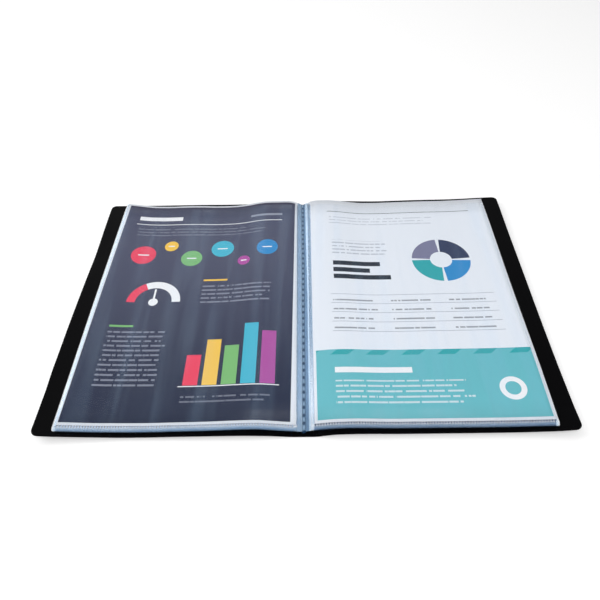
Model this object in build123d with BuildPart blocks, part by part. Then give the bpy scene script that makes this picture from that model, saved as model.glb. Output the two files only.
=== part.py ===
"""A clear pocket display book for A4 sheets, lying open at the middle of its pockets.

A one-piece polypropylene cover is creased into a spine panel and two cover panels. Ten clear
pockets lie on each side of a weld seam that stands on the spine. Each pocket is a back film
and a shorter front film, closed at the foot and the sides and open at the head. The topmost
pocket on each side holds one A4 sheet.

Frame: millimetres, +Z up, +Y towards the head of the pages, +X to the right-hand pages.
The origin is on the table, under the middle of the spine.
"""
from build123d import *
from math import atan2, cos, degrees, sin
import os

os.makedirs("parts", exist_ok=True)

# Cover sheet
sheet = 0.7  # thickness of the cover sheet
cover_height = 311.8  # foot to head
spine_width = 22.0  # crease to crease
cover_width = 227.5  # crease to fore edge
corner_radius = 6.0  # fore-edge corners of the covers
cover_lift = 6.2  # rise of a cover from its crease to its fore edge
crease_land = 1.6  # width of the thinned web along a crease
web = 0.3  # thickness of that web
crease_gap = 0.05  # from the web to the square end of the tilted cover

# Pockets
pockets_a_side = 10
film = 0.08  # one layer of clear film
leaf_pitch = 0.3  # one pocket to the next in the stack
pocket_reach = 219.5  # spine centre to the outer edge of a pocket
pocket_height = 303.0  # foot to head of a back film
foot_inset = 3.4  # foot of the cover to the foot of the pockets
mouth_lip = 7.0  # how much lower the front film ends at the mouth
foot_margin = 5.3  # film below the weld that closes the foot
film_corner = 1.2  # outer corners of the films
turn_height = 12.0  # height of the line about which pockets turn
turn_gap = 0.2  # from the top of the stack to that line, at the outer edge

# Binding along the spine
seam_foot_width = 3.0
seam_head_width = 2.4
seam_height = 4.1  # above the spine panel
seam_round = 0.4  # rounding of the top edges of the seam
dot_length = 3.0
dot_width = 1.4
dot_depth = 0.5
dot_pitch = 7.8
margin_outer = 6.0  # spine centre to the outer edge of a welded margin
margin_dip = 0.8  # how much lower a margin lies at the seam than at its outer edge
sag_share = 0.125  # sag of a margin below its own chord, as a share of that dip
binding_gap = 0.3  # running gap beside the seam and beside the pockets

# A4 insert
insert_width = 210.0
insert_height = 297.0
paper = 0.12
left_inset = 0.4  # from the left pocket's inner edge to its sheet
right_inset = 2.4  # from the right pocket's inner edge to its sheet
insert_rise = 0.3  # from the foot weld to a sheet

# Sizes that follow from these
crease = spine_width / 2
land = crease_land / 2
seam_top = sheet + seam_height
leaf_inner = margin_outer + binding_gap
leaf_span = pocket_reach - leaf_inner
pocket_foot = foot_inset - cover_height / 2
pocket_head = pocket_foot + pocket_height
pocket_middle = (pocket_foot + pocket_head) / 2
foot_weld = pocket_foot + foot_margin
empty_leaf = 2 * film
filled_leaf = empty_leaf + paper
stack = (pockets_a_side - 1) * leaf_pitch + filled_leaf
outer_top = turn_height - turn_gap
inner_top = seam_top + margin_dip + binding_gap
leaf_length = (leaf_span**2 + (outer_top - inner_top) ** 2) ** (1 / 2)
leaf_tilt = atan2(outer_top - inner_top, leaf_span)
cover_tilt = atan2(cover_lift, cover_width)
dots = int((pocket_height - dot_length) / dot_pitch)


def save(part, node):
    """Labels a finished piece and writes it under its own name."""
    part.label = node
    export_step(part, f"parts/{node}.step")


def outward(side, inner, height, tilt):
    """The plane at an inner edge, with local X running outward along a tilted sheet."""
    return Plane(
        origin=(side * inner, 0, height),
        x_dir=(side * cos(tilt), 0, sin(tilt)),
        z_dir=(-side * sin(tilt), 0, cos(tilt)),
    )


def sheet_outline(length, foot, head, side, rounding):
    """A sheet in its own plane from its inner edge outward, with rounded outer corners."""
    with BuildSketch(mode=Mode.PRIVATE) as outline:
        with Locations((0, side * (foot + head) / 2)):
            Rectangle(length, head - foot, align=(Align.MIN, Align.CENTER))
        fillet(outline.vertices().group_by(Axis.X)[-1], radius=rounding)
    return outline.sketch


# Spine panel: the middle strip of the cover sheet, which lies on the table.
with BuildPart() as spine_panel:
    with BuildSketch(Plane.XY):
        Rectangle(spine_width - crease_land, cover_height)
    extrude(amount=sheet)
save(spine_panel.part, "spine_panel")

# Crease webs: the sheet is thinned along each crease, so that it bends there.
for side, node in ((-1, "front_crease_web"), (1, "back_crease_web")):
    with BuildPart() as crease_web:
        with BuildSketch(Plane.XY.offset((sheet - web) / 2)):
            with Locations((side * crease, 0)):
                Rectangle(crease_land, cover_height)
        extrude(amount=web)
    save(crease_web.part, node)

# Covers: flat panels that rise a little from their crease to the fore edge.
for side, node in ((-1, "front_cover_panel"), (1, "back_cover_panel")):
    with BuildPart() as cover_panel:
        with BuildSketch(outward(side, crease + land + crease_gap, 0, cover_tilt)):
            add(
                sheet_outline(
                    cover_width - land - crease_gap,
                    -cover_height / 2,
                    cover_height / 2,
                    side,
                    corner_radius,
                )
            )
        extrude(amount=sheet)
    save(cover_panel.part, node)

# Weld seam: the folds of the sheets, welded together and to the spine in a row of dots.
with BuildPart() as weld_seam:
    with BuildSketch(Plane.XZ.offset(-pocket_head)):
        with BuildLine():
            Polyline(
                (-seam_foot_width / 2, sheet),
                (seam_foot_width / 2, sheet),
                (seam_head_width / 2, seam_top),
                (-seam_head_width / 2, seam_top),
                close=True,
            )
        make_face()
    extrude(amount=pocket_height)
    fillet(weld_seam.edges().filter_by(Axis.Y).group_by(Axis.Z)[-1], radius=seam_round)
    with BuildSketch(Plane.XY.offset(seam_top)):
        with Locations((0, pocket_middle)):
            with GridLocations(0, dot_pitch, 1, dots):
                SlotOverall(dot_length, dot_width, rotation=90)
    extrude(amount=-dot_depth, mode=Mode.SUBTRACT)
save(weld_seam.part, "weld_seam")

# Binding margins: the inner edges of the pockets on one side, pressed into one strip.
for side, node in ((-1, "left_binding_margin"), (1, "right_binding_margin")):
    near, far = side * (seam_foot_width / 2 + binding_gap), side * margin_outer
    middle, far_top = (near + far) / 2, inner_top - binding_gap / 2
    near_top = far_top - margin_dip
    middle_top = (near_top + far_top) / 2 - margin_dip * sag_share
    with BuildPart() as binding_margin:
        with BuildSketch(Plane.XZ.offset(-pocket_head)):
            with BuildLine():
                ThreePointArc(
                    (near, near_top),
                    (middle, middle_top),
                    (far, far_top),
                )
                Line((far, far_top), (far, far_top - stack))
                ThreePointArc(
                    (far, far_top - stack),
                    (middle, middle_top - stack),
                    (near, near_top - stack),
                )
                Line((near, near_top - stack), (near, near_top))
            make_face()
        extrude(amount=pocket_height)
    save(binding_margin.part, node)

# Pockets: number 1 lies on the cover and the last one on top, with the sheet in it.
for side, hand, inset in ((-1, "left", left_inset), (1, "right", right_inset)):
    for number in range(1, pockets_a_side + 1):
        below = inner_top - stack + (number - 1) * leaf_pitch
        holds = paper if number == pockets_a_side else 0
        node = f"{hand}_pocket_{number:02d}"
        with BuildPart() as back_film:
            with BuildSketch(outward(side, leaf_inner, below, leaf_tilt)):
                add(sheet_outline(leaf_length, pocket_foot, pocket_head, side, film_corner))
            extrude(amount=film)
        save(back_film.part, f"{node}_back_film")
        with BuildPart() as front_film:
            with BuildSketch(outward(side, leaf_inner, below, leaf_tilt).offset(film + holds)):
                add(
                    sheet_outline(
                        leaf_length, pocket_foot, pocket_head - mouth_lip, side, film_corner
                    )
                )
            extrude(amount=film)
        save(front_film.part, f"{node}_front_film")
        if holds:
            sheet_foot = foot_weld + insert_rise
            with BuildPart() as insert:
                with BuildSketch(outward(side, leaf_inner, below, leaf_tilt).offset(film)):
                    with Locations((inset, side * (sheet_foot + insert_height / 2))):
                        Rectangle(
                            insert_width, insert_height, align=(Align.MIN, Align.CENTER)
                        )
                extrude(amount=paper)
            save(insert.part, f"{hand}_insert")

print("weld dots", dots)
print("leaf tilt", round(degrees(leaf_tilt), 3), "cover tilt", round(degrees(cover_tilt), 3))
print("stack", round(stack, 2), "from", round(inner_top - stack, 2), "to", round(outer_top, 2))
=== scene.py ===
"""A clear pocket display book for A4 sheets, lying open, dressed around its CAD frame.

Lengths are in millimetres until a piece is finished, and metres after that. Distances from
the spine are positive on both sides: side is -1 for the left-hand pages and 1 for the right.
"""

import bmesh
import bpy
from math import pi, radians
from mathutils import Matrix, Vector


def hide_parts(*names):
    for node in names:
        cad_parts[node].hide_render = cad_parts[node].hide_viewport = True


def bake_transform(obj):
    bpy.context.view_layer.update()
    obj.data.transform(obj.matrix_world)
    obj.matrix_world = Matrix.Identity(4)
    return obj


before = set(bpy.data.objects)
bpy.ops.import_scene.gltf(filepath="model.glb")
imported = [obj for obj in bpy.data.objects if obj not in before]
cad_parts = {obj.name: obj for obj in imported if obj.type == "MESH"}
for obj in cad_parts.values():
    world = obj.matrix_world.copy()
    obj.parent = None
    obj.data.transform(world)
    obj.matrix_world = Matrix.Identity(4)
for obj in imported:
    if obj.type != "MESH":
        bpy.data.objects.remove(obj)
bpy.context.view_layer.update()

MM = 0.001
SIDES = ((-1, "left"), (1, "right"))

# The cover
SHEET = 0.7
COVER_HEIGHT = 311.8
COVER_REACH = 238.5  # from the middle of the spine to the fore edge
COVER_CORNER = 6.0
CREASE = 11.0  # from the middle of the spine to a crease
LAND = 0.8  # half the width of the web along a crease
WEB_INSET = 0.2  # how far the web lies in from each face of the sheet
COVER_EDGE = 0.12  # rounding of the cut edges
LIFT_START = 175  # where the lift of the fore edge begins

# The binding
SEAM_HALF = 1.45  # from the middle of the spine to the inner edge of a margin
DOT_PITCH = 7.8
DOT_MIDDLE = -1.0  # the middle of the row of dots
MARGIN_OUTER = 6.0  # from the middle of the spine to the outer edge of a margin
MARGIN_FILM = 0.12  # thickness of one layer of a margin
FOLD_START = 6.0  # the strip in which a pocket bends when it turns
FOLD_END = 9.5

# The pockets
POCKETS = 10
FILM = 0.05
FILM_GAP = 0.03
PITCH = 0.14  # one pocket to the next in the stack
SETTLE = 0.2  # how far a pocket lies below the level of the pages
INNER = MARGIN_OUTER + 0.03  # from the middle of the spine to the inner edge
REACH = 219.5  # and to the outer edge
FOOT = -152.5
FOOT_STEP = 0.2  # how much shorter each pocket is at the foot than the one below
FOOT_SCATTER = 0.12  # how unevenly the feet lie over each other
HEAD = 150.5
LIP = 7.0  # how much lower the front film ends at the mouth
FILM_CORNER = 1.2

# The weld across the foot of a pocket, a row of small ticks
FOOT_WELD = -148.0
TICK_PITCH = 2.4
TICK_START = 10.0
TICK_END = REACH - 3
TICK_SIZE = (0.58, 1.0)  # half its width and half its length
TICK_HEIGHT = 0.06
TICK_GAP = 0.005  # from the front film to a tick

# The printed sheets in the top pockets
PAPER = 0.11
INSERT_WIDTH = 210.0
INSERT_HEIGHT = 297.0
INSERT_INNER = {-1: 6.7, 1: 9.2}
INSERT_FOOT = -146.9


def profile(*points):
    """A smooth line through points (distance, height) that doesn't swing past them."""
    at, level = zip(*points)
    runs = [b - a for a, b in zip(at, at[1:])]
    rises = [(b - a) / run for a, b, run in zip(level, level[1:], runs)]
    inner = [2 * p * q / (p + q) if p * q > 0 else 0 for p, q in zip(rises, rises[1:])]
    slopes = [rises[0]] + inner + [rises[-1]]

    def height(x):
        x = min(max(x, at[0]), at[-1])
        i = max(j for j in range(len(runs)) if at[j] <= x)
        t = (x - at[i]) / runs[i]
        rise = level[i + 1] - level[i]
        bend = (slopes[i] * runs[i] - rise) * (1 - t) - (slopes[i + 1] * runs[i] - rise) * t
        return level[i] + rise * t + t * (1 - t) * bend

    return height


# Heights of the underside of a cover and of the top film, foot to head, over the distance
# from the spine.
COVER_FOOT = {
    1: profile(
        (0, 0), (10, 0), (18, 1.8), (30, 3.9), (52, 4.5), (85, 3.8), (110, 3.8), (160, 3.9),
        (200, 4.5), (220, 5.1), (238.5, 6.8),
    ),
    -1: profile(
        (0, 0), (10, 0), (18, 0.9), (30, 2.4), (60, 3.6), (88, 3.3), (111, 3.0), (135, 2.4),
        (158, 2.3), (182, 3.6), (205, 4.6), (220, 5.2), (238.5, 6.8),
    ),
}
COVER_HEAD = {
    1: profile(
        (0, 0), (10, 0), (18, 1.9), (30, 3.8), (44, 4.6), (62, 4.0), (92, 3.1), (122, 3.7),
        (142, 4.0), (173, 4.1), (193, 4.5), (213, 5.4), (233, 6.1), (238.5, 6.5),
    ),
    -1: profile(
        (0, 0), (10, 0), (18, 1.4), (30, 2.4), (60, 2.2), (89, 2.2), (129, 2.7), (180, 2.8),
        (205, 3.4), (230, 4.4), (238.5, 5.2),
    ),
}
PAGE_FOOT = {
    1: profile(
        (0, 4.9), (6.3, 6.4), (10, 7.1), (16, 8.2), (28, 10.0), (43, 10.6), (81, 9.2),
        (132, 9.1), (173, 9.2), (203, 10.0), (219.5, 10.4),
    ),
    -1: profile(
        (0, 4.9), (6.3, 5.3), (18, 6.6), (30, 8.6), (43, 10.3), (64, 9.6), (85, 8.3),
        (117, 7.4), (138, 6.8), (180, 7.8), (210, 10.1), (219.5, 10.8),
    ),
}
PAGE_HEAD = {
    1: profile(
        (0, 5.1), (6.3, 8.2), (12, 10.8), (18, 11.84), (30, 11.84), (44, 10.4), (54, 8.7),
        (72.7, 6.4), (92, 6.1), (111, 6.6), (130, 7.0), (149, 7.3), (168, 7.3), (187.5, 7.9),
        (206.6, 8.8), (219.5, 9.6),
    ),
    -1: profile(
        (0, 5.1), (6.3, 8.2), (14, 11.2), (20, 11.84), (42, 11.84), (52, 10.9), (68, 7.6),
        (87, 5.5), (106, 5.3), (125, 6.2), (144, 6.5), (163, 6.1), (182, 6.6), (201, 9.2),
        (212, 11.2), (219.5, 11.84),
    ),
}

# How far the fore edge of a cover is off its profiles, from foot to head.
EDGE_LIFT = {
    1: profile(
        (-156, 1.4), (-150, 0.8), (-140, -0.5), (-120, -0.8), (-104, -1.6), (-77, -1.9),
        (-40, -2.1), (0, -1.7), (50, -1.2), (90, -1.0), (111, -0.5), (133, 0.1), (156, 0.2),
    ),
    -1: profile(
        (-156, 1.3), (-146, 1.1), (-134, 0.8), (-122, 0.4), (-109, 0.5), (-96, 1.5),
        (-83, 1.5), (-55, 1.0), (-40, 1.2), (-8, 0.4), (26, -0.6), (44, -1.4), (63, -2.6),
        (82, -2.4), (103, -1.9), (124, -1.3), (156, -1.5),
    ),
}
# How far the outer edge of the pages is drawn in by their waves, from foot to head.
DRAWN_IN = {
    1: profile(
        (-153, 0.3), (-90, -0.1), (-20, 0.5), (20, 0.7), (100, 0.4), (151, 0.6),
    ),
    -1: profile(
        (-153, -0.4), (-100, 0.0), (-40, 0.4), (20, 1.0), (60, 1.6), (100, 2.1), (151, 2.9),
    ),
}


def between(foot, head, side, x, y):
    """The height at a distance from the spine, from the foot's profile to the head's."""
    share = min(max((y - FOOT) / (HEAD - FOOT), 0), 1)
    return foot[side](x) * (1 - share) + head[side](x) * share


def cover_level(side, x, y):
    """The underside of a cover."""
    outward = max((x - LIFT_START) / (COVER_REACH - LIFT_START), 0)
    return between(COVER_FOOT, COVER_HEAD, side, x, y) + EDGE_LIFT[side](y) * outward**2


def page_level(side, number, x, y):
    """The level of a pocket: the pockets nest under the top film."""
    return between(PAGE_FOOT, PAGE_HEAD, side, x, y) - (POCKETS - number) * PITCH


def lay_on(shape, side, number, rise):
    """Lays a flat sheet on the waves of the pages at a pocket's level."""
    for v in shape.verts:
        x, y = abs(v.co.x), v.co.y
        v.co.z += page_level(side, number, x, y) + rise
        v.co.x -= side * DRAWN_IN[side](y) * x / REACH


def blank(side, inner, outer, foot, head, corner, columns, rows):
    """A flat sheet from its inner to its outer edge, with rounded outer corners, cut into a net."""
    sheet = bmesh.new()
    bmesh.ops.create_grid(sheet, x_segments=1, y_segments=1, size=0.5)
    bmesh.ops.scale(sheet, vec=(outer - inner, head - foot, 1), verts=sheet.verts)
    middle = (side * (inner + outer) / 2, (foot + head) / 2, 0)
    bmesh.ops.translate(sheet, vec=middle, verts=sheet.verts)
    if corner:
        bmesh.ops.bevel(
            sheet,
            geom=[v for v in sheet.verts if abs(v.co.x) > (inner + outer) / 2],
            offset=corner,
            offset_type="OFFSET",
            segments=6,
            profile=0.5,
            affect="VERTICES",
            material=-1,
        )
    for x in columns:
        cut(sheet, (side * x, 0, 0), (1, 0, 0))
    for y in rows:
        cut(sheet, (0, y, 0), (0, 1, 0))
    return sheet


def cut(shape, point, normal):
    """Adds a line of edges where a plane meets a shape."""
    everything = shape.verts[:] + shape.edges[:] + shape.faces[:]
    bmesh.ops.bisect_plane(shape, geom=everything, plane_co=point, plane_no=normal)


def extruded(shape):
    """Doubles a flat shape into a closed one, and gives the points of its new upper side."""
    made = bmesh.ops.extrude_face_region(shape, geom=shape.faces[:])
    return [item for item in made["geom"] if isinstance(item, bmesh.types.BMVert)]


def lay_out(shape, backs=(), number=0):
    """Keeps each point's place on the flat sheet in metres, so that patterns follow the sheet.

    Pocket after pocket is laid out a metre further up, and so are the faces of a back, which
    puts them clear of the print.
    """
    layer = shape.loops.layers.uv.new("flat")
    for face in shape.faces:
        further = number + (1 if face in backs else 0)
        for corner in face.loops:
            corner[layer].uv = (corner.vert.co.x * MM, corner.vert.co.y * MM + further)


def finished(name, shape, finish, nodes=(), smooth=True):
    """Makes a mesh object, in metres, from a shape in millimetres."""
    bmesh.ops.scale(shape, vec=(MM, MM, MM), verts=shape.verts)
    mesh = bpy.data.meshes.new(name)
    shape.to_mesh(mesh)
    shape.free()
    if smooth:
        mesh.shade_smooth()
    piece = bpy.data.objects.new(name, mesh)
    bpy.context.scene.collection.objects.link(piece)
    mesh.materials.append(finish)
    if nodes:
        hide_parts(*nodes)
    return piece


def thicken(piece, thickness):
    """Gives a film its thickness, upward from its underside.

    Films cast no shadow, for twenty clear layers would darken each other too much.
    """
    wall = piece.modifiers.new("thickness", "SOLIDIFY")
    wall.thickness = thickness * MM
    wall.offset = 1
    piece.visible_shadow = False


class Value:
    """A number that varies over a surface, for use in Python expressions."""

    def __init__(self, finish, socket):
        self.finish, self.socket = finish, socket

    def maths(self, operation, *others):
        node = self.finish.node("Math", {"operation": operation}, dict(enumerate(others)))
        return Value(self.finish, node.outputs[0])

    def __add__(self, other):
        return self.maths("ADD", self, other)

    def __sub__(self, other):
        return self.maths("SUBTRACT", self, other)

    def __mul__(self, other):
        return self.maths("MULTIPLY", self, other)

    def __truediv__(self, other):
        return self.maths("DIVIDE", self, other)

    def __rsub__(self, other):
        return self.maths("SUBTRACT", other, self)

    def __gt__(self, other):
        return self.maths("GREATER_THAN", self, other)

    def __lt__(self, other):
        return self.maths("LESS_THAN", self, other)

    def root(self):
        return self.maths("SQRT", self)

    def near(self, middle, reach):
        """1 within a reach of a middle value, and 0 outside it."""
        return self.maths("COMPARE", self, middle, reach)

    def either(self, other):
        return self.maths("MAXIMUM", self, other)

    def size(self):
        return self.maths("ABSOLUTE", self)

    def floor(self):
        return self.maths("FLOOR", self)

    def fraction(self):
        return self.maths("FRACT", self)

    def clear_of(self, low, high):
        """A soft step from 0 at low to 1 at high."""
        node = self.finish.node(
            "MapRange",
            {"interpolation_type": "SMOOTHSTEP"},
            {"Value": self, "From Min": low, "From Max": high},
        )
        return Value(self.finish, node.outputs[0])


class Finish:
    """A material in the making."""

    def __init__(self, name):
        self.material = bpy.data.materials.new(name)
        self.material.use_nodes = True
        self.tree = self.material.node_tree
        self.tree.nodes.clear()

    def node(self, kind, settings=None, sockets=None):
        """One node: its settings first, then the values or links of its sockets."""
        node = self.tree.nodes.new("ShaderNode" + kind)
        for setting, value in (settings or {}).items():
            setattr(node, setting, value)
        for socket, value in (sockets or {}).items():
            if isinstance(value, Value):
                value = value.socket
            if isinstance(value, bpy.types.NodeSocket):
                self.tree.links.new(value, node.inputs[socket])
            elif node.inputs[socket].type == "RGBA":
                node.inputs[socket].default_value = (*value, 1)
            else:
                node.inputs[socket].default_value = value
        return node

    def place(self):
        return self.node("TexCoord").outputs["Object"]

    def flat(self):
        """The place on the flat sheet, across and up, in millimetres."""
        place = self.node("UVMap", {"uv_map": "flat"}).outputs[0]
        split = self.node("SeparateXYZ", None, {0: place})
        return [Value(self, split.outputs[axis]) * 1000 for axis in ("X", "Y")]

    def mix(self, share, first, second):
        """A colour from first to second."""
        node = self.node("Mix", {"data_type": "RGBA"}, {0: share, 6: first, 7: second})
        return node.outputs[2]

    def noise(self, scale, detail=2.0, roughness=0.5, place=None):
        sockets = {"Scale": scale, "Detail": detail, "Roughness": roughness}
        sockets["Vector"] = self.place() if place is None else place
        return Value(self, self.node("TexNoise", None, sockets).outputs["Fac"])

    def bump(self, height, distance, strength):
        sockets = {"Height": height, "Distance": distance, "Strength": strength}
        return self.node("Bump", None, sockets).outputs[0]

    def surface(self, **sockets):
        """The Principled shader that ends the material; an underscore stands for a space."""
        named = {key.replace("_", " "): value for key, value in sockets.items()}
        shader = self.node("BsdfPrincipled", None, named)
        self.node("OutputMaterial", None, {"Surface": shader.outputs[0]})
        return self.material


def colour(red, green, blue):
    """A colour as screens write it, 0 to 255, in the renderer's own scale."""
    shares = [c / 255 for c in (red, green, blue)]
    return tuple(c / 12.92 if c <= 0.04045 else ((c + 0.055) / 1.055) ** 2.4 for c in shares)


def cover_plastic():
    """Black polypropylene sheet with a fine leather grain."""
    f = Finish("grained_black_polypropylene")
    cells = f.node(
        "TexVoronoi",
        {"feature": "SMOOTH_F1"},
        {"Vector": f.place(), "Scale": 1300.0, "Smoothness": 0.6, "Randomness": 1.0},
    )
    grain = Value(f, cells.outputs["Distance"])
    clouds = f.noise(14.0, 3.0)
    tone = f.mix(clouds, colour(2, 2, 3), colour(5, 5, 7))
    return f.surface(
        Base_Color=tone,
        Roughness=clouds * 0.12 + 0.42,
        Specular_IOR_Level=0.05,
        Normal=f.bump(grain, 0.00008, 0.8),
    )


def clear_film():
    """Clear polypropylene film: a faint blue haze, drawing streaks and a slight wobble.

    The strips at the foot, the gutter and the outer edge, where more layers lie together, are
    denser, and the top pocket has soft bands of painted sheen in the place of reflections. Painted
    light lies in the strips too: shade and reflection at the foot, and painted highlights beside
    the gutter and along the outer edge.
    """
    f = Finish("clear_film")
    across, up = f.flat()
    pocket = (up / 1000 + 0.5).floor()
    up = up - pocket * 1000
    streaks = f.node("CombineXYZ", None, {0: across * 0.9, 1: up * 0.012}).outputs[0]
    drawn = f.noise(0.35, 3.0, 0.6, place=streaks)
    bands = f.node("CombineXYZ", None, {0: across * 0.055, 1: up * 0.004 + pocket * 3.7}).outputs[0]
    sheen = f.noise(1.0, 2.0, 0.55, place=bands).clear_of(0.42, 0.7)
    haze = f.noise(16.0, 3.0, 0.55)
    wobble = f.noise(9.0, 1.0, 0.4)
    outward = across.size()
    outer = outward.clear_of(REACH - 3.4, REACH - 2.6)
    rim_highlight = outward.clear_of(REACH - 1.6, REACH - 0.4)
    inner = 1 - outward.clear_of(8.0, 9.4)
    foot = 1 - up.clear_of(FOOT_WELD, FOOT_WELD + 0.8)
    weld = 1 - (up - FOOT_WELD).size().clear_of(0.8, 1.4)
    tint = f.mix(haze, colour(150, 206, 255), colour(194, 230, 255))
    # Painted light in the foot strip: it darkens towards the foot edge, where the black cover shows
    # through the stacked film edges and painted shade stands for the films curving down. The
    # left-hand colours are painted lighter as a reflection, and the right-hand ones darker as
    # shade.
    edge = (up.clear_of(FOOT, FOOT_WELD) + haze - 0.5).either(0.0)
    left = f.mix(edge, colour(130, 170, 210), colour(208, 226, 242))
    right = f.mix(edge, colour(100, 138, 180), colour(168, 190, 210))
    tint = f.mix(foot, tint, f.mix(across > 0, left, right))
    # A painted highlight on the right-hand strip beside the gutter, pale at the foot and fading
    # towards the head.
    right_inner_highlight = f.mix(up.clear_of(-140, -30), colour(226, 238, 250), colour(128, 160, 190))
    tint = f.mix(inner, tint, f.mix(across > 0, colour(150, 180, 206), right_inner_highlight))
    tint = f.mix(weld, tint, colour(236, 242, 250))
    # The outer strip is pale film, and its outermost millimetre or so carries a painted highlight
    # line.
    pale = f.mix(rim_highlight, colour(222, 238, 252), colour(250, 252, 255))
    veil = haze * 0.012 + 0.008 + drawn * 0.012
    # Painted sheen: soft bands of extra haze on the top pocket stand in for reflections.
    veil = veil + sheen * (1 - foot) * (1 - outer) * (pocket > POCKETS - 0.5) * 0.03
    return f.surface(
        Base_Color=f.mix(outer, tint, pale),
        IOR=2.0,
        Specular_IOR_Level=0.9,
        Roughness=drawn * 0.14 + 0.1,
        Alpha=veil + foot * 0.045 + outer * 0.12 + (inner * 0.035).either(weld * 0.03),
        Normal=f.bump(wobble, 0.004, 0.25),
    )


def pressed_margins():
    """Film margins pressed together: deep blue beside the seam, and paler further out, with a
    painted highlight on the right-hand margin.
    """
    f = Finish("pressed_margins")
    across, up = f.flat()
    head = up.either(0.0)
    off = (across - 1.8 + head * 0.0075).size() + head * 0.004
    outward = off.clear_of(2.2, 3.4)
    patches = f.noise(160.0, 3.0, 0.6)
    deep = f.mix(patches, colour(102, 136, 170), colour(126, 160, 192))
    left = f.mix(patches, colour(140, 168, 196), colour(168, 194, 216))
    # Painted highlight: the right-hand margin is painted far lighter than the left, as a reflection
    # on its curved film.
    right = f.mix(patches, colour(200, 222, 242), colour(224, 240, 252))
    return f.surface(
        Base_Color=f.mix(outward, deep, f.mix(across > 0, left, right)),
        Roughness=patches * 0.15 + 0.2,
        Alpha=patches * 0.06 + 0.2,
        Normal=f.bump(patches, 0.0002, 0.2),
    )


def weld_ticks():
    """Film melted together in a tick, painted pale on the left-hand pages and dark on the right as
    lit and shaded copies of the same weld.
    """
    f = Finish("weld_ticks")
    across, up = f.flat()
    patches = f.noise(160.0, 3.0, 0.6)
    # Lit and shaded copies: the same weld painted pale on the left and dark on the right.
    left = f.mix(patches, colour(140, 160, 190), colour(170, 188, 212))
    right = f.mix(patches, colour(28, 44, 82), colour(52, 72, 110))
    return f.surface(
        Base_Color=f.mix(across > 0, left, right),
        IOR=1.6,
        Roughness=patches * 0.15 + 0.2,
        Alpha=0.9,
        Normal=f.bump(patches, 0.0002, 0.3),
    )


def seam_film():
    """The weld seam: pale blue film, dark blue in the melted dots, and painted shade where the dots
    are pressed in deep.
    """
    f = Finish("weld_seam_film")
    split = f.node("SeparateXYZ", None, {0: f.place()}).outputs
    across, up, height = (Value(f, split[axis]) * 1000 for axis in "XYZ")
    # Painted shade: darker wherever the surface lies below about 4.35 to 4.7 mm, in the pressed-in
    # hollows. The melted dots themselves are darker film.
    pressed = 1 - height.clear_of(4.35, 4.7)
    along = ((up - DOT_MIDDLE) / DOT_PITCH).fraction() - 0.5
    away = (across * across / 2.2 + along * along * 12).root()
    melted = 1 - away.clear_of(0.45, 1.15)
    patches = f.noise(220.0, 3.0, 0.6)
    body = f.mix(patches, colour(124, 156, 186), colour(148, 178, 206))
    return f.surface(
        Base_Color=f.mix(melted.either(pressed), body, colour(40, 74, 110)),
        Metallic=0.1,
        Roughness=patches * 0.15 + 0.2,
        Alpha=0.92,
        Normal=f.bump(patches, 0.0002, 0.4),
    )


class Print:
    """A printed page: masks in millimetres from the page's own left and lower edges."""

    def __init__(self, name, left_edge):
        self.f = Finish(name)
        across, up = self.f.flat()
        self.u, self.v = across - left_edge, up - INSERT_FOOT
        self.fibres = self.f.noise(900.0, 2.0, 0.6)
        self.paint = colour(236, 241, 249)

    def block(self, left, right, low, high):
        """An upright rectangle."""
        wide = self.u.near((left + right) / 2, (right - left) / 2)
        return wide * self.v.near((low + high) / 2, (high - low) / 2)

    def away(self, u, v):
        """The distance from a point."""
        across, up = self.u - u, self.v - v
        return (across * across + up * up).root()

    def disc(self, u, v, radius):
        return self.away(u, v) < radius

    def ring(self, u, v, radius, width):
        return self.away(u, v).near(radius, width / 2)

    def turn(self, u, v):
        """The bearing from a point as a share of a whole turn."""
        return (self.u - u).maths("ARCTAN2", self.v - v, self.u - u) / (2 * pi) + 0.5

    def slanted(self, pitch, share, lean):
        """Slanted stripes."""
        return ((self.u + self.v * lean) / pitch).fraction() < share

    def lines(self, left, right, low, high, pitch, share=0.42, seed=0.0):
        """Rows of broken bars with a ragged right edge, in the place of small print."""
        row = ((self.v - low) / pitch).floor()
        bars = ((self.v - low) / pitch).fraction() < share
        spot = self.f.node("CombineXYZ", None, {0: self.u * 0.32, 1: row * 7.3 + seed}).outputs[0]
        words = self.f.noise(1.0, 1.0, 0.5, place=spot) > 0.41
        ends = self.f.node("CombineXYZ", None, {0: row * 3.7 + seed}).outputs[0]
        ragged = self.f.noise(1.0, 0.0, 0.5, place=ends) * (right - left) * 0.5
        ended = self.u < right - ragged + (right - left) * 0.12
        return self.block(left, right, low, high) * bars * words * ended

    def shade(self, low, high):
        """A colour that changes slowly from the foot of the page to its head."""
        return self.f.mix(self.v.clear_of(0, 240), low, high)

    def ink(self, mask, shade, strength=1.0):
        """Prints a colour where the mask is 1."""
        self.paint = self.f.mix(mask * strength if strength < 1 else mask, self.paint, shade)

    def page(self):
        f = self.f
        soft = f.mix(self.fibres * 0.05, self.paint, colour(120, 122, 130))
        return f.surface(
            Base_Color=soft,
            Roughness=self.fibres * 0.1 + 0.5,
            Specular_IOR_Level=0.2,
            Normal=f.bump(self.fibres, 0.00004, 0.4),
        )


PINK = colour(240, 62, 92)
YELLOW = colour(248, 200, 72)
GREEN = colour(124, 188, 112)
CYAN = colour(66, 184, 210)
BLUE = colour(40, 140, 205)
MAGENTA = colour(178, 72, 160)
WHITE = colour(246, 247, 250)
GREY = colour(150, 154, 170)
NAVY = colour(20, 21, 52)
# The navy as lightened towards the head by a painted reflection.
NAVY_SHEEN = colour(72, 72, 96)
TEAL = colour(104, 190, 200)
DEEP_TEAL = colour(42, 168, 174)
SLATE = colour(44, 52, 86)
VIOLET_GREY = colour(124, 124, 154)
NEAR_BLACK = colour(28, 30, 40)


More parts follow.
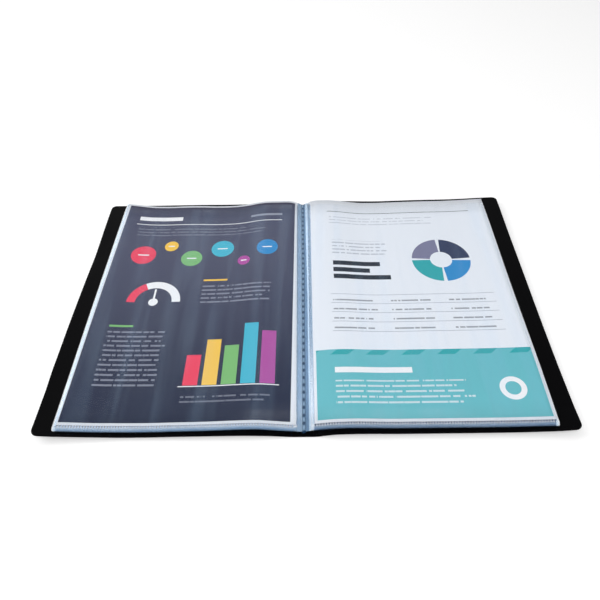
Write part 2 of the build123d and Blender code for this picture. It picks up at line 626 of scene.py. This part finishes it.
def dark_print():
    """A dark page: a bubble chart, a half-ring gauge, columns and rows of small print.

    Its printed field leans a little to the right towards the head, and its navy is painted lighter
    towards the head as a painted reflection on the film.
    """
    p = Print("dark_printed_page", -INSERT_INNER[-1] - INSERT_WIDTH)
    whole = p.block(0.8, 207.4, 2.6, 294.4) * (p.u > p.v * 0.006 + 0.8)
    # The navy lightens towards the head: a painted reflection, not the print's own colour.
    p.ink(whole * (p.u < p.v * 0.0092 + 204.7), p.shade(NAVY, NAVY_SHEEN))
    p.ink(p.block(18, 70, 270, 276.5).either(p.block(16, 192, 262.6, 263.6)), WHITE)
    p.ink(p.block(154, 192, 271.5, 275), GREY)
    p.ink(p.lines(20, 190, 244, 258, 5.0, 0.3, 1.0), GREY, 0.5)
    for u, v, radius, shade in (
        (34, 212, 14, PINK),
        (64, 226, 8, YELLOW),
        (90, 206, 12, GREEN),
        (124, 221, 13, CYAN),
        (150, 200, 7, MAGENTA),
        (176, 218, 12, BLUE),
    ):
        p.ink(p.disc(u, v, radius), shade)
        p.ink(p.block(u - radius * 0.45, u + radius * 0.45, v - 0.8, v + 0.8), WHITE)
    gauge = p.ring(58, 142, 24, 9) * (p.v > 142)
    p.ink(gauge, WHITE)
    p.ink(gauge * (p.turn(58, 142) > 0.82), PINK)
    p.ink(p.disc(58, 142, 5).either(p.block(57, 59, 142, 160)), WHITE)
    p.ink(p.lines(108, 192, 140, 168, 5.6, 0.36, 5.0), GREY, 0.7)
    p.ink(p.block(108, 134, 171, 173.4), YELLOW)
    columns = ((34, PINK), (52, YELLOW), (44, GREEN), (70, CYAN), (60, MAGENTA))
    for number, (rise, shade) in enumerate(columns):
        left = 104 + number * 18
        p.ink(p.block(left, left + 14, 40, 40 + rise), shade)
    p.ink(p.block(100, 194, 38.4, 39.4), WHITE)
    p.ink(p.lines(20, 86, 40, 106, 5.6, 0.36, 9.0), GREY, 0.7)
    p.ink(p.block(20, 44, 109, 111.4), GREEN)
    p.ink(p.lines(104, 192, 22, 32, 5.0, 0.34, 13.0), GREY, 0.5)
    return p.page()


def light_print():
    """A white page: a divided ring, bars, a ruled table and a turquoise band at the foot."""
    p = Print("light_printed_page", INSERT_INNER[1])
    p.ink(p.block(20, 190, 276.2, 277.0), NEAR_BLACK)
    p.ink(p.lines(22, 160, 256, 271, 5.0, 0.3, 2.0), GREY, 0.45)
    bearing = p.turn(144, 196)
    whole = p.ring(144, 196, 22, 20)
    for start, end, shade in (
        (0.0, 0.24, DEEP_TEAL),
        (0.26, 0.49, BLUE),
        (0.51, 0.74, SLATE),
        (0.76, 0.985, VIOLET_GREY),
    ):
        p.ink(whole * bearing.near((start + end) / 2, (end - start) / 2), shade)
    p.ink(p.lines(24, 92, 206, 228, 5.4, 0.34, 4.0), GREY, 0.6)
    for row, length in enumerate((62, 40, 52)):
        p.ink(p.block(24, 24 + length, 168 + row * 10, 174.5 + row * 10), NEAR_BLACK)
    for v in (98, 110, 122, 134, 146):
        p.ink(p.block(20, 190, v - 0.25, v + 0.25), GREY)
    for left in (22, 82, 142):
        p.ink(p.lines(left, left + 46, 101, 146, 12.0, 0.16, left * 1.0), NEAR_BLACK, 0.6)
    p.ink(p.block(2.8, 207.2, 2.8, 76), TEAL)
    p.ink(p.block(2.8, 207.2, 70, 76) * p.slanted(34, 0.5, -1.2), DEEP_TEAL)
    p.ink(p.block(20, 92, 50, 56), WHITE)
    p.ink(p.lines(20, 150, 18, 42, 5.6, 0.34, 7.0), WHITE, 0.6)
    p.ink(p.disc(180, 32, 12), WHITE)
    p.ink(p.disc(180, 32, 7), TEAL)
    return p.page()


def steps(start, end, count):
    return [start + (end - start) * i / count for i in range(1, count)]


def page_columns():
    """Where a page is cut so that it can bend: closely in its fold, and wider apart outward."""
    close = steps(FOLD_START, FOLD_END, 6) + [FOLD_END]
    return close + [11.5, 14, 17, 20, 24, 28, 33, 39, 46, 54] + steps(54, REACH, 24)


def make_camera():
    """The photograph's viewpoint: from the front, about fifty degrees above the table."""
    place = (0.00633, -0.35921, 0.42697)
    roll, tilt, pan = 1.567, 40.113, -2.102
    width, focal_share = 36.0, 525.01 / 600
    data = bpy.data.cameras.new("viewpoint")
    data.sensor_width = width
    data.lens = focal_share * width
    data.clip_start, data.clip_end = 0.01, 50
    camera = bpy.data.objects.new("viewpoint", data)
    bpy.context.scene.collection.objects.link(camera)
    turn = (
        Matrix.Rotation(radians(roll), 4, "Z")
        @ Matrix.Rotation(radians(tilt), 4, "X")
        @ Matrix.Rotation(radians(pan), 4, "Z")
    )
    camera.matrix_world = Matrix.Translation(place) @ turn
    bpy.context.scene.camera = camera


def make_covers(plastic):
    """The two halves of the cover sheet outside the spine, each bending at its crease."""
    for side, node, body, web in (
        (-1, "front_cover_panel", "front_cover", "front_crease_web"),
        (1, "back_cover_panel", "back_cover", "back_crease_web"),
    ):
        inner = CREASE - LAND
        half = COVER_HEIGHT / 2
        # Close cuts across the web, and wider ones further out.
        columns = [inner + 0.3, CREASE - 0.35, CREASE, CREASE + 0.35, CREASE + LAND - 0.3]
        columns += [CREASE + LAND, 12, 14, 16, 18, 20, 23, 26, 30, 35, 42, 50]
        columns += steps(50, COVER_REACH, 20)
        rows = steps(-half, half, 14)
        sheet = blank(side, inner, COVER_REACH, -half, half, COVER_CORNER, columns, rows)
        raised = set(extruded(sheet))
        for v in sheet.verts:
            x, y = abs(v.co.x), v.co.y
            thinned = WEB_INSET if abs(x - CREASE) < LAND / 2 else 0
            v.co.z = cover_level(side, x, y) + (SHEET - thinned if v in raised else thinned)
        bmesh.ops.recalc_face_normals(sheet, faces=sheet.faces)
        piece = finished(f"{body}_sheet", sheet, plastic, (node, web), smooth=False)
        soften(piece, COVER_EDGE)
        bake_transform(piece)


def soften(piece, width):
    """Rounds the sharp edges of a piece a little."""
    edge = piece.modifiers.new("edge", "BEVEL")
    edge.width = width * MM
    edge.segments = 2
    edge.limit_method = "ANGLE"
    edge.angle_limit = radians(50)


def fold(piece, side):
    """Bakes a piece's placement into its mesh. The ends of the strip beside the binding where a
    pocket would bend are worked out, but nothing bends the piece.
    """
    near, far = (side * FOLD_START * MM, 0, 0), (side * FOLD_END * MM, 0, 0)
    if side < 0:
        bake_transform(piece)
    else:
        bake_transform(piece)


def held(number):
    """How far a pocket is opened by the sheet that it holds."""
    return PAPER + FILM_GAP if number == POCKETS else 0


def make_pockets(film, weld):
    """Ten pockets a side, each a back film, a lower front film and a row of weld ticks."""
    for side, hand in SIDES:
        columns = page_columns() + [INSERT_INNER[side] + INSERT_WIDTH]
        for number in range(1, POCKETS + 1):
            leaf = f"{hand}_pocket_{number:02d}"
            foot = FOOT + (number - 1) * FOOT_STEP + FOOT_SCATTER * (number * 7 % 5 - 2)
            lifted = FILM + FILM_GAP + held(number)
            for part, head, rise in (("back", HEAD, 0), ("front", HEAD - LIP, lifted)):
                rows = steps(foot, head, 10)
                shape = blank(side, INNER, REACH, foot, head, FILM_CORNER, columns, rows)
                lay_out(shape, number=number)
                lay_on(shape, side, number, rise - FILM - SETTLE)
                node = f"{leaf}_{part}_film"
                piece = finished(node + "_sheet", shape, film, (node,))
                thicken(piece, FILM)
                fold(piece, side)
            foot_weld(side, hand, number, weld)


def foot_weld(side, hand, number, weld):
    """The row of small ticks that closes a pocket's foot."""
    shape = bmesh.new()
    x = TICK_START
    while x < TICK_END:
        made = bmesh.ops.create_circle(shape, cap_ends=True, segments=8, radius=1)
        place = Matrix.Translation((side * x, FOOT_WELD, 0))
        place @= Matrix.Diagonal((*TICK_SIZE, 1, 1))
        bmesh.ops.transform(shape, matrix=place, verts=made["verts"])
        x += TICK_PITCH
    bmesh.ops.translate(shape, vec=(0, 0, TICK_HEIGHT), verts=extruded(shape))
    lay_out(shape)
    lay_on(shape, side, number, FILM + FILM_GAP + held(number) + TICK_GAP - SETTLE)
    bmesh.ops.recalc_face_normals(shape, faces=shape.faces)
    node = f"{hand}_pocket_{number:02d}_foot_weld"
    piece = finished(node, shape, weld, smooth=False)
    fold(piece, side)


def make_inserts():
    """The two printed A4 sheets, each in the top pocket of its side."""
    head = INSERT_FOOT + INSERT_HEIGHT
    prints = (dark_print(), "dark_print"), (light_print(), "light_print")
    for (side, hand), (finish, slot) in zip(SIDES, prints):
        inner = INSERT_INNER[side]
        columns = [x for x in page_columns() if inner < x < inner + INSERT_WIDTH]
        rows = steps(INSERT_FOOT, head, 10)
        shape = blank(side, inner, inner + INSERT_WIDTH, INSERT_FOOT, head, 0, columns, rows)
        backs = set(shape.faces)
        bmesh.ops.translate(shape, vec=(0, 0, PAPER), verts=extruded(shape))
        lay_out(shape, backs)
        bmesh.ops.recalc_face_normals(shape, faces=shape.faces)
        lay_on(shape, side, POCKETS, FILM_GAP / 2 - SETTLE)
        piece = finished(f"{hand}_insert_sheet", shape, finish, (f"{hand}_insert",))
        fold(piece, side)


def make_binding(pressed):
    """The margins of the ten pockets of a side, pressed together beside the seam."""
    columns, rows = steps(SEAM_HALF, MARGIN_OUTER, 8), steps(FOOT, HEAD, 6)
    for side, hand in SIDES:
        whole = bmesh.new()
        for number in range(1, POCKETS + 1):
            layer = blank(side, SEAM_HALF, MARGIN_OUTER, FOOT, HEAD, 0, columns, rows)
            lay_on(layer, side, number, -FILM - SETTLE)
            strip = bpy.data.meshes.new("strip")
            layer.to_mesh(strip)
            layer.free()
            whole.from_mesh(strip)
            bpy.data.meshes.remove(strip)
        lay_out(whole)
        node = f"{hand}_binding_margin"
        piece = finished(node + "_films", whole, pressed, (node,))
        thicken(piece, MARGIN_FILM)
        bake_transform(piece)


def paint_kept_nodes(plastic, seam):
    """The spine panel and the weld seam keep their own solids."""
    for node, finish in (("spine_panel", plastic), ("weld_seam", seam)):
        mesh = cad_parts[node].data
        mesh.materials.clear()
        mesh.materials.append(finish)


def make_table():
    """A white table that takes the book's shadow."""
    table = bmesh.new()
    bmesh.ops.create_grid(table, x_segments=1, y_segments=1, size=6000)
    bmesh.ops.translate(table, vec=(0, 0, -0.05), verts=table.verts)
    f = Finish("white_table")
    path = f.node("LightPath")
    seen = Value(f, path.outputs["Is Camera Ray"])
    seen = seen.either(Value(f, path.outputs["Is Glossy Ray"]))
    seen = seen.either(Value(f, path.outputs["Is Transmission Ray"]))
    f.surface(
        Base_Color=f.mix(seen, (0.8, 0.8, 0.8), (1.0, 1.0, 1.0)),
        Emission_Color=f.mix(seen, (0.0, 0.0, 0.0), (0.16, 0.16, 0.16)),
        Emission_Strength=1.0,
        Roughness=0.9,
        Specular_IOR_Level=0.0,
    )
    finished("white_table", table, f.material, smooth=False)


def make_sky():
    """White where the camera sees it; as light, brightest forty degrees up and dim overhead."""
    world = bpy.data.worlds.new("studio")
    bpy.context.scene.world = world
    world.use_nodes = True
    nodes, links = world.node_tree.nodes, world.node_tree.links
    nodes.clear()
    light = nodes.new("ShaderNodeLightPath")
    strongest = nodes.new("ShaderNodeMath")
    strongest.operation = "MAXIMUM"
    links.new(light.outputs["Is Camera Ray"], strongest.inputs[0])
    links.new(light.outputs["Is Transmission Ray"], strongest.inputs[1])
    sky = nodes.new("ShaderNodeSeparateXYZ")
    links.new(nodes.new("ShaderNodeTexCoord").outputs["Generated"], sky.inputs[0])
    fall = nodes.new("ShaderNodeValToRGB")
    ramp = fall.color_ramp
    ramp.elements.remove(ramp.elements[1])
    ramp.elements[0].color = (0.7, 0.7, 0.7, 1)
    for place, level in ((0.5, 0.7), (0.63, 0.92), (0.78, 0.52), (0.9, 0.22)):
        ramp.elements.new(place).color = (level, level, level, 1)
    links.new(sky.outputs["Z"], fall.inputs["Fac"])
    strength = nodes.new("ShaderNodeMath")
    strength.operation = "MAXIMUM"
    links.new(strongest.outputs[0], strength.inputs[0])
    links.new(fall.outputs[0], strength.inputs[1])
    back = nodes.new("ShaderNodeBackground")
    links.new(strength.outputs[0], back.inputs["Strength"])
    out = nodes.new("ShaderNodeOutputWorld")
    links.new(back.outputs[0], out.inputs[0])


def make_lamps():
    """Three square lamps that point at the middle of the book."""
    for name, place, size, power in (
        ("overhead", (0.1, -0.9, 1.5), 1.0, 12.5),
        ("side", (-1.5, 0.3, 1.1), 0.8, 6.0),
        ("window", (-0.6, 1.1, 1.2), 1.8, 6.0),
    ):
        data = bpy.data.lights.new(name, "AREA")
        data.shape = "SQUARE"
        data.size = size
        data.energy = power
        lamp = bpy.data.objects.new(name, data)
        bpy.context.scene.collection.objects.link(lamp)
        lamp.location = place
        lamp.rotation_mode = "QUATERNION"
        lamp.rotation_quaternion = (-Vector(place)).to_track_quat("-Z", "Y")


make_camera()
make_table()
make_sky()
make_lamps()
plastic = cover_plastic()
make_covers(plastic)
paint_kept_nodes(plastic, seam_film())
make_binding(pressed_margins())
make_pockets(clear_film(), weld_ticks())
make_inserts()

scene = bpy.context.scene
scene.view_settings.view_transform = "Standard"
scene.cycles.transparent_max_bounces = 96  # both faces of the films of all twenty pockets
